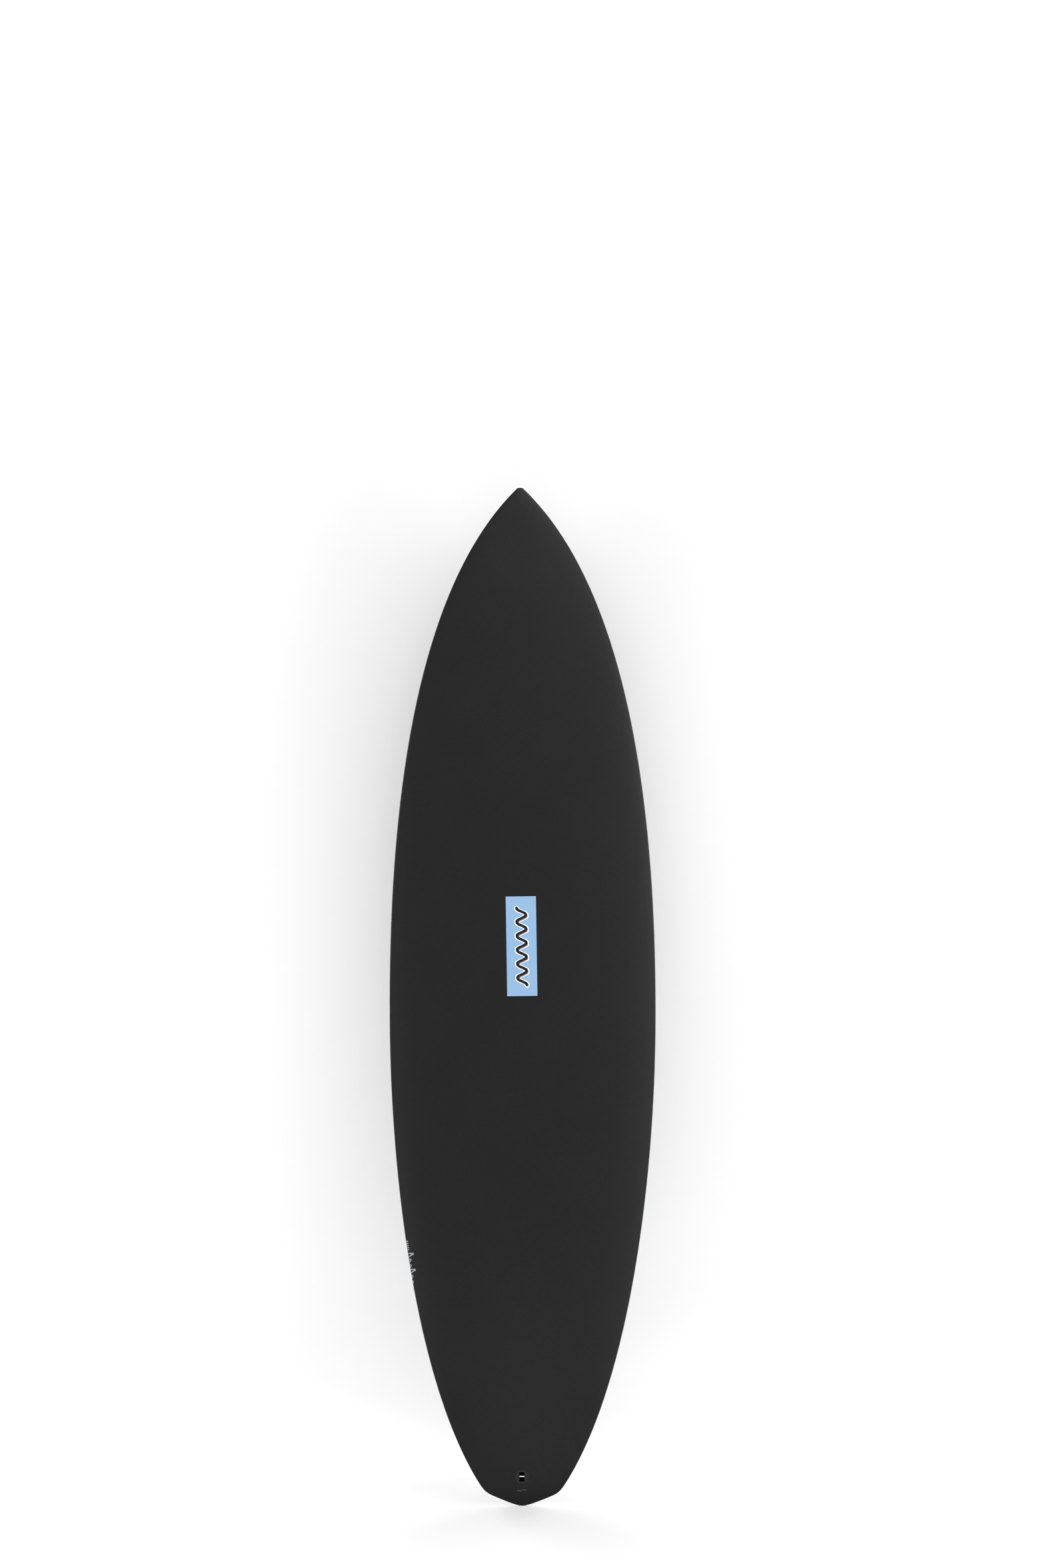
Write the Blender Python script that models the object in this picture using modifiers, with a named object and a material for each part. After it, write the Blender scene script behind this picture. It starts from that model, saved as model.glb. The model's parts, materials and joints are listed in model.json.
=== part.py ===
"""Shortboard surfboard with a diamond tail, a leash plug and three removable fins.

The board stands upright on its tail. +Z runs from the tail tip to the nose tip, the deck
faces -Y, the bottom and the fins face +Y, and +X is the right rail seen from the deck.
The origin is the lowest point of the tail tip. All sizes are in metres and radians.
"""
import math

import bmesh
import bpy
import numpy as np
from mathutils import Matrix, Vector

# Half outline as cubic curves: (half width, distance from the tail tip), every third point
# lies on the outline and the two between are handles.
OUTLINE = [
    (0.0000, 0.0000), (0.0090, 0.0000), (0.0220, 0.0046),
    (0.0484, 0.0150), (0.0666, 0.0221), (0.0708, 0.0250),
    (0.0833, 0.0444), (0.1975, 0.2213), (0.2497, 0.5900),
    (0.2497, 0.9095), (0.2497, 1.1360), (0.2364, 1.6640),
    (0.0055, 1.8788), (0.0045, 1.8797), (0.0025, 1.8800),
    (0.0000, 1.8800),
]
SPANS_PER_CURVE = (5, 5, 11, 13, 2)
LENGTH = OUTLINE[-1][1]

# Rocker: how far the bottom lifts from its flat spot towards each end
NOSE_ROCKER = 0.127
TAIL_ROCKER = 0.060
FLAT_SPOT = 0.46 * LENGTH
NOSE_ROCKER_POWER = 2.3
TAIL_ROCKER_POWER = 2.1

# Foil: how the thickness changes along the board
THICKNESS = 0.0635
TAIL_THICKNESS = 0.014
NOSE_THICKNESS = 0.009
THICKEST_AT = 0.95
TAIL_FOIL_POWER = 2.0
NOSE_FOIL_POWER = 2.2

# Rails: the widest line of the rail, as a share of the thickness, and the section's powers
TAIL_APEX = 0.20
NOSE_APEX = 0.44
DECK_WIDTH_POWER = 2.3
DECK_HEIGHT_POWER = 1.9
TAIL_TUCK_POWER = 22.0
NOSE_TUCK_POWER = 8.0
CONCAVE = 0.0025

# Near the ends the section planes fan out from a hub on the centre line
TAIL_HUB = 0.035
NOSE_HUB = 1.850
HUB_BLEND = 0.030

# Layers
LAMINATE = 0.0008
FOAM_INSET = 0.0012
GAP = 0.0003
LAP_SHARE = 0.90
LAP_CLEARANCE = 0.0001
STRINGER_THICKNESS = 0.003
DECK_STEPS = 8
TUCK_SHARES = (0.985, 0.955)
FLOOR_SHARES = (0.66, 0.33, 0.0)

# Centre label
LABEL_WIDTH = 0.056
LABEL_LENGTH = 0.185
LABEL_AT = 1.0385
LABEL_TILT = math.radians(0.8)
LABEL_THICKNESS = 0.00015
LABEL_COLUMNS = 4
LABEL_ROWS = 8

# Leash plug
PLUG_AT = 0.0561
PLUG_RADIUS = 0.0125
PLUG_BODY_RADIUS = 0.0116
PLUG_GROOVE_RADIUS = 0.0108
PLUG_FLANGE = 0.002
PLUG_DEPTH = 0.0135
PLUG_GROOVE_TOP = 0.40 * PLUG_DEPTH
PLUG_GROOVE_BOTTOM = 0.65 * PLUG_DEPTH
PLUG_GROOVE_FLARE = 0.05 * PLUG_DEPTH
SLOT_WIDTH = 0.0095
SLOT_LENGTH = 0.0173
SLOT_DEPTH = 0.0110
SLOT_CORNER = 0.0012
SLOT_CORNER_STEPS = 3
PIN_RADIUS = 0.0016
PIN_LENGTH = 0.0195
PIN_DEPTH = 0.0042

# Fins: sizes at the base line, where the blade meets the board
FIN_BASE = 0.112
FIN_DEPTH = 0.115
FIN_THICKNESS = 0.0065
FIN_TIP_THICKNESS = 0.0020
FIN_EDGE = 0.0008
FIN_ROOT_FILL = 0.0012
FIN_ROOT_HEIGHT = 0.004
FIN_ROOT_POWER = 6
FIN_TAPER_POWER = 1.2
FIN_OUTER_BIAS = 0.42
FIN_CHORD_STEPS = 8
FIN_DEPTH_STEPS = 11
LEADING_EDGE = [(0.056, 0.0), (0.046, 0.036), (0.012, 0.100), (-0.042, 0.115)]
TRAILING_EDGE = [(-0.056, 0.0), (-0.046, 0.042), (-0.058, 0.086), (-0.066, 0.115)]
CANT = math.radians(6.5)
TOE_IN = math.radians(3.2)
SIDE_FIN_AT = (0.143, 0.335)
CENTRE_FIN_AT = (0.0, 0.145)

# Fin boxes: two round cups joined by a bridge; a tab of the fin stands in each
CUP_RADIUS = 0.0123
CUP_DEPTH = 0.0145
CUP_SPACING = 0.060
BRIDGE_WIDTH = 0.009
BRIDGE_DEPTH = 0.004
TAB_LENGTH = 0.017
TAB_THICKNESS = 0.0062
TAB_DEPTH = 0.012
TAB_ROOT = 0.001
BOX_SINK = 0.00015

# Grub screws
SCREW_RADIUS = 0.0025
SCREW_LENGTH = 0.008
SCREW_CLEARANCE = 0.0004
SCREW_TILT = math.radians(12)
SCREW_TIP_DEPTH = 0.0098
HEX_RADIUS = 0.00145
HEX_DEPTH = 0.003

FINE_SIDES = 32
ROUND_SIDES = 24
SMALL_SIDES = 16
CUTTER_REACH = 0.012
MERGE = 0.00001
SHARP_ANGLE = math.radians(35)
OUTLINE_SAMPLES = 40
FRAME_STEP = 0.002
ANCHOR_SIZE = 0.02

PARTS = bpy.data.collections.new("shortboard")
CUTTERS = bpy.data.collections.new("cutters")


def clear_scene():
    for old in list(bpy.data.objects):
        bpy.data.objects.remove(old)
    for collection in (PARTS, CUTTERS):
        bpy.context.scene.collection.children.link(collection)


# ---------------------------------------------------------------- board shape

def cubic(points, t):
    p0, p1, p2, p3 = (Vector(p) for p in points)
    s = 1.0 - t
    return s ** 3 * p0 + 3 * s * s * t * p1 + 3 * s * t * t * p2 + t ** 3 * p3


def outline_points(spans_per_curve):
    """Points along the half outline, tail tip to nose tip."""
    points = [Vector(OUTLINE[0])]
    for curve, spans in enumerate(spans_per_curve):
        handles = OUTLINE[3 * curve:3 * curve + 4]
        points += [cubic(handles, (k + 1) / spans) for k in range(spans)]
    return points


FINE_OUTLINE = outline_points([OUTLINE_SAMPLES] * len(SPANS_PER_CURVE))


def half_width(z):
    return float(np.interp(z, [p.y for p in FINE_OUTLINE], [p.x for p in FINE_OUTLINE]))


def rocker(z):
    to_nose = max(z - FLAT_SPOT, 0.0) / (LENGTH - FLAT_SPOT)
    to_tail = max(FLAT_SPOT - z, 0.0) / FLAT_SPOT
    return NOSE_ROCKER * to_nose ** NOSE_ROCKER_POWER + TAIL_ROCKER * to_tail ** TAIL_ROCKER_POWER


def thickness(z):
    if z < THICKEST_AT:
        away = (THICKEST_AT - z) / THICKEST_AT
        return THICKNESS - (THICKNESS - TAIL_THICKNESS) * away ** TAIL_FOIL_POWER
    away = (z - THICKEST_AT) / (LENGTH - THICKEST_AT)
    return THICKNESS - (THICKNESS - NOSE_THICKNESS) * away ** NOSE_FOIL_POWER


def along(z, at_tail, at_nose):
    return at_tail + (at_nose - at_tail) * z / LENGTH


def deck_height(z, share):
    """Height of the deck over the rocker's base line; share is 0 at the stringer, 1 at the rail."""
    apex = along(z, TAIL_APEX, NOSE_APEX) * thickness(z)
    rise = (1.0 - share ** DECK_WIDTH_POWER) ** (1.0 / DECK_HEIGHT_POWER)
    return rocker(z) + apex + (thickness(z) - apex) * rise


def bottom_height(z, share):
    apex = along(z, TAIL_APEX, NOSE_APEX) * thickness(z)
    tuck = 1.0 - math.sqrt(1.0 - share ** along(z, TAIL_TUCK_POWER, NOSE_TUCK_POWER))
    hollow = CONCAVE * math.sin(math.pi * z / LENGTH) * (1.0 - share ** 2)
    return rocker(z) + apex * tuck + hollow


BASE_Y = rocker(0.0) + TAIL_APEX * TAIL_THICKNESS


def hub(z):
    """Where the section plane from an outline point at z meets the centre line."""
    reach = math.hypot(z - TAIL_HUB, HUB_BLEND)
    raised = 0.5 * (z + TAIL_HUB + reach)
    return 0.5 * (raised + NOSE_HUB - math.hypot(raised - NOSE_HUB, HUB_BLEND))


def skin_point(edge, share, height):
    """A point of the skin on the line from an outline point to its hub."""
    z = hub(edge.y) + (edge.y - hub(edge.y)) * share
    z = min(max(z, 0.0), LENGTH)
    return Vector((edge.x * share, BASE_Y - height(z, share), z))


def deck_point(x, z):
    return Vector((x, BASE_Y - deck_height(z, abs(x) / half_width(z)), z))


def bottom_point(x, z):
    return Vector((x, BASE_Y - bottom_height(z, abs(x) / half_width(z)), z))


def deck_ring():
    """Shares and surface from the stringer over the deck to the rail's widest line."""
    angles = [math.pi / 2 * k / DECK_STEPS for k in range(DECK_STEPS, -1, -1)]
    return [(math.cos(a) ** (2.0 / DECK_WIDTH_POWER) if k else 0.0, deck_height)
            for k, a in enumerate(angles)]


def lap_ring():
    return [(share, bottom_height) for share in TUCK_SHARES + (LAP_SHARE,)]


def floor_ring():
    return [(share, bottom_height) for share in FLOOR_SHARES]


# ---------------------------------------------------------------- making objects

def material(name, colour, roughness, metallic=0.0):
    made = bpy.data.materials.new(name)
    made.use_nodes = True
    shader = made.node_tree.nodes["Principled BSDF"]
    shader.inputs["Base Color"].default_value = (*colour, 1.0)
    shader.inputs["Roughness"].default_value = roughness
    shader.inputs["Metallic"].default_value = metallic
    return made


def add_object(name, mesh, finish=None, collection=PARTS):
    made = bpy.data.objects.new(name, mesh)
    collection.objects.link(made)
    if finish:
        mesh.materials.append(finish)
    if collection is CUTTERS:
        made.hide_render = True
        made.display_type = "WIRE"
    return made


def mesh_from(bm, name):
    mesh = bpy.data.meshes.new(name)
    bm.to_mesh(mesh)
    bm.free()
    mesh.shade_smooth()
    mesh.set_sharp_from_angle(angle=SHARP_ANGLE)
    return mesh


def cut(target, *cutters):
    for cutter in cutters:
        boolean = target.modifiers.new(cutter.name, "BOOLEAN")
        boolean.operation = "DIFFERENCE"
        boolean.solver = "EXACT"
        boolean.object = cutter


def join_into(target, *others):
    for other in others:
        boolean = target.modifiers.new(other.name, "BOOLEAN")
        boolean.operation = "UNION"
        boolean.solver = "EXACT"
        boolean.object = other


def box_mesh(name, size, centre):
    bm = bmesh.new()
    bmesh.ops.create_cube(bm, size=1.0)
    bmesh.ops.scale(bm, vec=size, verts=bm.verts)
    bmesh.ops.translate(bm, vec=centre, verts=bm.verts)
    return mesh_from(bm, name)


def rod_mesh(name, radius, low, high, sides=ROUND_SIDES, turn=Matrix.Identity(4)):
    """A cylinder along Z between two heights, then turned."""
    bm = bmesh.new()
    bmesh.ops.create_cone(bm, cap_ends=True, segments=sides, radius1=radius, radius2=radius,
                          depth=high - low)
    bmesh.ops.translate(bm, vec=(0, 0, (high + low) / 2), verts=bm.verts)
    bmesh.ops.transform(bm, matrix=turn, verts=bm.verts)
    return mesh_from(bm, name)


def surface_frame(surface, x, z, outward):
    """A frame on the board: +Z out of the surface, +Y towards the nose."""
    forward = (surface(x, z + FRAME_STEP) - surface(x, z - FRAME_STEP)).normalized()
    across = surface(x + FRAME_STEP, z) - surface(x - FRAME_STEP, z)
    out = forward.cross(across).normalized()
    if out.y * outward < 0:
        out.negate()
    side = forward.cross(out)
    frame = Matrix((side, forward, out)).transposed().to_4x4()
    frame.translation = surface(x, z)
    return frame


def add_anchor(name, frame):
    anchor = bpy.data.objects.new(name, None)
    anchor.empty_display_size = ANCHOR_SIZE
    anchor.matrix_world = frame
    PARTS.objects.link(anchor)
    return anchor


def under(anchor, *children):
    for child in children:
        child.parent = anchor


# ---------------------------------------------------------------- skins, foam and stringer

def loft_half(name, rows):
    """The right half of a skin, through rows of points that all have the same length."""
    bm = bmesh.new()
    grid = [[bm.verts.new(p) for p in row] for row in rows]
    for row, following in zip(grid, grid[1:]):
        for k in range(len(row) - 1):
            bm.faces.new((row[k], row[k + 1], following[k + 1], following[k]))
    return mesh_from(bm, name)


def skin_rows(ring):
    return [[skin_point(edge, share, height) for share, height in ring]
            for edge in outline_points(SPANS_PER_CURVE)]


def mirror_halves(target):
    mirror = target.modifiers.new("other half", "MIRROR")
    mirror.use_clip = True
    mirror.merge_threshold = MERGE


def laminate(name, ring_rows, finish):
    skin = add_object(name, loft_half(name, ring_rows), finish)
    mirror_halves(skin)
    solidify = skin.modifiers.new("laminate", "SOLIDIFY")
    solidify.thickness = LAMINATE
    solidify.offset = -1.0
    solidify.use_even_offset = True
    return skin


def bottom_rows():
    """Rows of the bottom skin, whose border keeps a small gap to the deck skin's lap."""
    rows = []
    for edge in outline_points(SPANS_PER_CURVE):
        reach = (edge - Vector((0.0, hub(edge.y)))).length
        border = LAP_SHARE - (GAP + LAP_CLEARANCE) / reach
        ring = [(border, bottom_height)] + floor_ring()
        rows.append([skin_point(edge, share, height) for share, height in ring])
    return rows


def core_bmesh():
    """The closed shape inside the laminate, both halves in one."""
    rows = skin_rows(deck_ring() + lap_ring() + floor_ring())
    bm = bmesh.new()
    bm.from_mesh(loft_half("core", rows))
    copy = bmesh.ops.duplicate(bm, geom=bm.verts[:] + bm.edges[:] + bm.faces[:])["geom"]
    copied = [g for g in copy if isinstance(g, bmesh.types.BMVert)]
    bmesh.ops.scale(bm, vec=(-1, 1, 1), verts=copied)
    bmesh.ops.remove_doubles(bm, verts=bm.verts, dist=MERGE)
    bmesh.ops.recalc_face_normals(bm, faces=bm.faces)
    inward = [v.normal * v.calc_shell_factor() * FOAM_INSET for v in bm.verts]
    for vert, shift in zip(bm.verts, inward):
        vert.co -= shift
    return bm


def slice_core(name, finish, sides):
    """Keep the part of the core on the inner side of each (x, direction) plane."""
    bm = core_bmesh()
    for x, direction in sides:
        geometry = bm.verts[:] + bm.edges[:] + bm.faces[:]
        found = bmesh.ops.bisect_plane(bm, geom=geometry, plane_co=(x, 0, 0),
                                       plane_no=(direction, 0, 0), clear_outer=True)
        border = [g for g in found["geom_cut"] if isinstance(g, bmesh.types.BMEdge)]
        bmesh.ops.contextual_create(bm, geom=border)
    bmesh.ops.recalc_face_normals(bm, faces=bm.faces)
    return add_object(name, mesh_from(bm, name), finish)


# ---------------------------------------------------------------- centre label

def build_label(finish):
    bm = bmesh.new()
    bmesh.ops.create_grid(bm, x_segments=LABEL_COLUMNS, y_segments=LABEL_ROWS, size=0.5)
    for vert in bm.verts:
        flat = Vector((vert.co.x * LABEL_WIDTH, vert.co.y * LABEL_LENGTH))
        flat.rotate(Matrix.Rotation(LABEL_TILT, 2))
        vert.co = deck_point(flat.x, LABEL_AT + flat.y) - Vector((0, GAP, 0))
    for face in bm.faces:
        face.normal_flip()
    label = add_object("centre_label", mesh_from(bm, "centre_label"), finish)
    solidify = label.modifiers.new("film", "SOLIDIFY")
    solidify.thickness = LABEL_THICKNESS
    solidify.offset = 1.0
    return label


# ---------------------------------------------------------------- leash plug

def plug_profile():
    """Half section of the cup, down its outer side."""
    return [(0.0, 0.0), (PLUG_RADIUS, 0.0), (PLUG_RADIUS, -PLUG_FLANGE),
            (PLUG_BODY_RADIUS, -PLUG_FLANGE), (PLUG_BODY_RADIUS, -PLUG_GROOVE_TOP),
            (PLUG_GROOVE_RADIUS, -PLUG_GROOVE_TOP - PLUG_GROOVE_FLARE),
            (PLUG_GROOVE_RADIUS, -PLUG_GROOVE_BOTTOM + PLUG_GROOVE_FLARE),
            (PLUG_BODY_RADIUS, -PLUG_GROOVE_BOTTOM), (PLUG_BODY_RADIUS, -PLUG_DEPTH),
            (0.0, -PLUG_DEPTH)]


def turned(name, profile, finish, steps):
    bm = bmesh.new()
    verts = [bm.verts.new((radius, 0.0, z)) for radius, z in profile]
    for first, second in zip(verts, verts[1:]):
        bm.edges.new((first, second))
    made = add_object(name, mesh_from(bm, name), finish)
    screw = made.modifiers.new("turn", "SCREW")
    screw.steps = steps
    screw.render_steps = steps
    screw.use_merge_vertices = True
    screw.merge_threshold = MERGE
    return made


def slot_cutter():
    tall = SLOT_DEPTH + CUTTER_REACH
    centre = (0, 0, (CUTTER_REACH - SLOT_DEPTH) / 2)
    mesh = box_mesh("plug_slot", (SLOT_WIDTH, SLOT_LENGTH, tall), centre)
    slot = add_object("plug_slot", mesh, collection=CUTTERS)
    bm = bmesh.new()
    bm.from_mesh(mesh)
    upright = [e for e in bm.edges if abs(e.verts[0].co.z - e.verts[1].co.z) > tall / 2]
    bmesh.ops.bevel(bm, geom=upright, offset=SLOT_CORNER, segments=SLOT_CORNER_STEPS, profile=0.5,
                    affect="EDGES")
    bm.to_mesh(mesh)
    bm.free()
    return slot


def build_leash_plug(deck, foams, plastic, steel):
    anchor = add_anchor("leash_plug_anchor", surface_frame(deck_point, 0.0, PLUG_AT, -1))
    cup = turned("leash_plug_cup", plug_profile(), plastic, FINE_SIDES)
    across = Matrix.Translation((0, 0, -PIN_DEPTH)) @ Matrix.Rotation(math.pi / 2, 4, "Y")
    half = PIN_LENGTH / 2
    pin_mesh = rod_mesh("leash_plug_pin", PIN_RADIUS, -half, half, SMALL_SIDES, across)
    pin = add_object("leash_plug_pin", pin_mesh, steel)
    slot = slot_cutter()
    hole_mesh = rod_mesh("pin_hole", PIN_RADIUS + GAP, -PLUG_RADIUS, PLUG_RADIUS, SMALL_SIDES, across)
    pin_hole = add_object("pin_hole", hole_mesh, collection=CUTTERS)
    pocket_mesh = rod_mesh("plug_pocket", PLUG_RADIUS + GAP, -PLUG_DEPTH - GAP, CUTTER_REACH, FINE_SIDES)
    pocket = add_object("plug_pocket", pocket_mesh, collection=CUTTERS)
    under(anchor, cup, pin, slot, pin_hole, pocket)
    cut(cup, slot, pin_hole)
    cut(deck, pocket)
    for foam in foams:
        cut(foam, pocket)


# ---------------------------------------------------------------- fins

def foil(share):
    """Half thickness of a slender foil over its thickness; share runs from nose to tail edge."""
    return 5.0 * (0.2969 * math.sqrt(share) - 0.1260 * share - 0.3516 * share ** 2
                  + 0.2843 * share ** 3 - 0.1015 * share ** 4)


def edge_at(curve, depth):
    """The y of a fin's edge at a depth, by halving along its curve."""
    low, high = 0.0, 1.0
    for _ in range(40):
        middle = (low + high) / 2
        if cubic(curve, middle).y < depth:
            low = middle
        else:
            high = middle
    return cubic(curve, low).x


def blade_section(depth, outer_share, cant):
    """One loop of the blade: round the leading edge, from the outer face to the inner one."""
    lead = edge_at(LEADING_EDGE, depth)
    trail = edge_at(TRAILING_EDGE, depth)
    taper = (depth / FIN_DEPTH) ** FIN_TAPER_POWER
    thick = FIN_THICKNESS + (FIN_TIP_THICKNESS - FIN_THICKNESS) * taper
    fill = FIN_ROOT_FILL * math.exp(-depth / FIN_ROOT_HEIGHT)
    outer, inner = [], []
    for k in range(FIN_CHORD_STEPS + 1):
        share = (1 - math.cos(math.pi * k / FIN_CHORD_STEPS)) / 2
        half = thick * foil(share) + FIN_EDGE / 2 * share
        root = fill * (1 - abs(2 * share - 1) ** FIN_ROOT_POWER)
        y = lead + (trail - lead) * share
        shift = depth * math.tan(cant)
        outer.append(Vector((shift + 2 * half * outer_share + root, y, depth)))
        inner.append(Vector((shift - 2 * half * (1 - outer_share) - root, y, depth)))
    return outer[::-1] + inner[1:]


def blade_mesh(name, outer_share, cant):
    turns = [math.pi / 2 * k / FIN_DEPTH_STEPS for k in range(FIN_DEPTH_STEPS + 1)]
    depths = [FIN_DEPTH * math.sin(turn) for turn in turns]
    depths.insert(1, FIN_ROOT_HEIGHT)
    bm = bmesh.new()
    loops = [[bm.verts.new(p) for p in blade_section(d, outer_share, cant)] for d in depths]
    for loop, following in zip(loops, loops[1:]):
        for k in range(len(loop)):
            n = (k + 1) % len(loop)
            bm.faces.new((loop[k], loop[n], following[n], following[k]))
    bm.faces.new(loops[0])
    bm.faces.new(loops[-1])
    bmesh.ops.translate(bm, vec=(0, 0, GAP), verts=bm.verts)
    bmesh.ops.recalc_face_normals(bm, faces=bm.faces)
    return mesh_from(bm, name)


def figure_eight(name, grow, top, finish=None, collection=CUTTERS):
    """Two round cups joined by a bridge, as one closed body."""
    cups = []
    for end, y in (("rear", -CUP_SPACING / 2), ("front", CUP_SPACING / 2)):
        place = Matrix.Translation((0, y, 0))
        mesh = rod_mesh(name, CUP_RADIUS + grow, -CUP_DEPTH - grow, top, turn=place)
        cups.append((end, mesh))
    rear = add_object(name, cups[0][1], finish, collection)
    front = add_object(name + "_front_cup", cups[1][1], collection=CUTTERS)
    bridge_mesh = box_mesh(name, (BRIDGE_WIDTH + 2 * grow, CUP_SPACING, BRIDGE_DEPTH + grow + top),
                           (0, 0, (top - BRIDGE_DEPTH - grow) / 2))
    bridge = add_object(name + "_bridge", bridge_mesh, collection=CUTTERS)
    join_into(rear, bridge, front)
    return rear, [rear, front, bridge]


def screw_frame(y, side):
    """Axis of a grub screw: +Z from its tip beside the tab to its head."""
    tip_x = TAB_THICKNESS / 2 + GAP + SCREW_RADIUS * math.cos(SCREW_TILT)
    place = Matrix.Translation((side * tip_x, y, -SCREW_TIP_DEPTH))
    return place @ Matrix.Rotation(side * SCREW_TILT, 4, "Y")


def build_screw(name, frame, steel):
    screw = add_object(name, rod_mesh(name, SCREW_RADIUS, 0.0, SCREW_LENGTH, SMALL_SIDES), steel)
    hex_mesh = rod_mesh(name, HEX_RADIUS, SCREW_LENGTH - HEX_DEPTH, SCREW_LENGTH + HEX_DEPTH, 6)
    hexagon = add_object(name + "_hex", hex_mesh, collection=CUTTERS)
    hexagon.parent = screw
    screw.matrix_local = frame
    cut(screw, hexagon)
    return screw


def tab_mesh(y):
    centre = (0, y, (TAB_ROOT - TAB_DEPTH) / 2)
    return box_mesh("tab", (TAB_THICKNESS, TAB_LENGTH, TAB_DEPTH + TAB_ROOT), centre)


def well_mesh(y):
    size = (TAB_THICKNESS + 2 * GAP, TAB_LENGTH + 2 * GAP, TAB_DEPTH + GAP + CUTTER_REACH)
    return box_mesh("well", size, (0, y, (CUTTER_REACH - TAB_DEPTH - GAP) / 2))


def build_fin(side_name, at, outward, screw_side, skins, foams, finishes):
    """A fin box, its fin and its two grub screws; outward is the blade's cant direction."""
    x, z = at
    frame = surface_frame(bottom_point, x, z, 1)
    frame = frame @ Matrix.Rotation(outward * TOE_IN, 4, "Z") @ Matrix.Translation((0, 0, -BOX_SINK))
    anchor = add_anchor("fin_anchor_" + side_name, frame)
    box, box_pieces = figure_eight("fin_box_" + side_name, 0.0, 0.0, finishes["plastic"], PARTS)
    pocket, pocket_pieces = figure_eight("pocket_" + side_name, GAP, CUTTER_REACH)
    outer_share = 0.5 + FIN_OUTER_BIAS * outward
    fin = add_object("fin_" + side_name, blade_mesh(side_name, outer_share, outward * CANT),
                     finishes["fin"])
    under(anchor, fin, *box_pieces, *pocket_pieces)
    for end, y in (("rear", -CUP_SPACING / 2), ("front", CUP_SPACING / 2)):
        label = side_name + "_" + end
        tab = add_object("tab_" + label, tab_mesh(y), collection=CUTTERS)
        well = add_object("well_" + label, well_mesh(y), collection=CUTTERS)
        tilt = screw_frame(y, screw_side)
        hole_mesh = rod_mesh("hole", SCREW_RADIUS + SCREW_CLEARANCE, -GAP,
                             SCREW_LENGTH + CUTTER_REACH, SMALL_SIDES, tilt)
        hole = add_object("screw_hole_" + label, hole_mesh, collection=CUTTERS)
        screw = build_screw("grub_screw_" + label, tilt, finishes["steel"])
        under(anchor, tab, well, hole, screw)
        join_into(fin, tab)
        cut(box, well, hole)
    for cut_piece in skins + foams:
        cut(cut_piece, pocket)


# ---------------------------------------------------------------- assembly

def build_board():
    weave = material("black_weave", (0.030, 0.031, 0.034), 0.55)
    foam = material("foam", (0.85, 0.85, 0.80), 0.9)
    ply = material("stringer_ply", (0.62, 0.45, 0.27), 0.7)
    film = material("label_film", (0.36, 0.56, 0.80), 0.5)
    plastic = material("black_plastic", (0.02, 0.02, 0.022), 0.5)
    steel = material("stainless_steel", (0.62, 0.62, 0.60), 0.3, 1.0)
    composite = material("fin_composite", (0.035, 0.036, 0.040), 0.35)

    deck = laminate("deck_laminate", skin_rows(deck_ring() + lap_ring()), weave)
    bottom = laminate("bottom_laminate", bottom_rows(), weave)
    inner = STRINGER_THICKNESS / 2
    outer = inner + GAP
    right = slice_core("foam_blank_right", foam, [(outer, -1)])
    left = slice_core("foam_blank_left", foam, [(-outer, 1)])
    stringer = slice_core("stringer", ply, [(inner, 1), (-inner, -1)])

    build_label(film)
    build_leash_plug(deck, [right, left, stringer], plastic, steel)

    finishes = {"plastic": plastic, "fin": composite, "steel": steel}
    x, z = SIDE_FIN_AT
    build_fin("right", (x, z), -1, 1, [bottom], [right], finishes)
    build_fin("left", (-x, z), 1, -1, [bottom], [left], finishes)
    build_fin("centre", CENTRE_FIN_AT, 0, 1, [bottom], [right, left, stringer], finishes)


clear_scene()
build_board()
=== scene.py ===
"""Looks of the shortboard: fine skins, weave, label, leash plug, fins and a soft white studio.

+Z runs from the tail tip to the nose tip, the deck faces -Y and the bottom faces +Y.
The shape functions are the same as the part's own, sampled more finely. Sizes are in metres.
"""
import json
import math

import bmesh
import bpy
import numpy as np
from mathutils import Matrix, Vector

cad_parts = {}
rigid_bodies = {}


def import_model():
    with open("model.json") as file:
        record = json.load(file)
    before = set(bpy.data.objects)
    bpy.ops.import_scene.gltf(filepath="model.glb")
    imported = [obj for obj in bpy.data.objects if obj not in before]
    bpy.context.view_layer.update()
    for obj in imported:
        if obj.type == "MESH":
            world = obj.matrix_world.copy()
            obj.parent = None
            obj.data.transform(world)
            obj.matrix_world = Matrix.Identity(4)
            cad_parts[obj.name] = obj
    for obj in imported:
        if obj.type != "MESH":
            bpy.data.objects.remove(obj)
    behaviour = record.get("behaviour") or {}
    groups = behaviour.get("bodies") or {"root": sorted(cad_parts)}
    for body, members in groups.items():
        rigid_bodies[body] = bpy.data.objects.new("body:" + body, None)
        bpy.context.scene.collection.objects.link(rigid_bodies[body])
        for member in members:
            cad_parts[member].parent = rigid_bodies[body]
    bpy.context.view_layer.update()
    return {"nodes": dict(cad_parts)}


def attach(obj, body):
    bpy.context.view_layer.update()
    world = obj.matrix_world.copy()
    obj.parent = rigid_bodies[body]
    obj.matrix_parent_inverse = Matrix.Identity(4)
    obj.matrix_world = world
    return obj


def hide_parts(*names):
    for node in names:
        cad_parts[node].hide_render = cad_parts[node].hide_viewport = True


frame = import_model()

# ---------------------------------------------------------------- board shape

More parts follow.
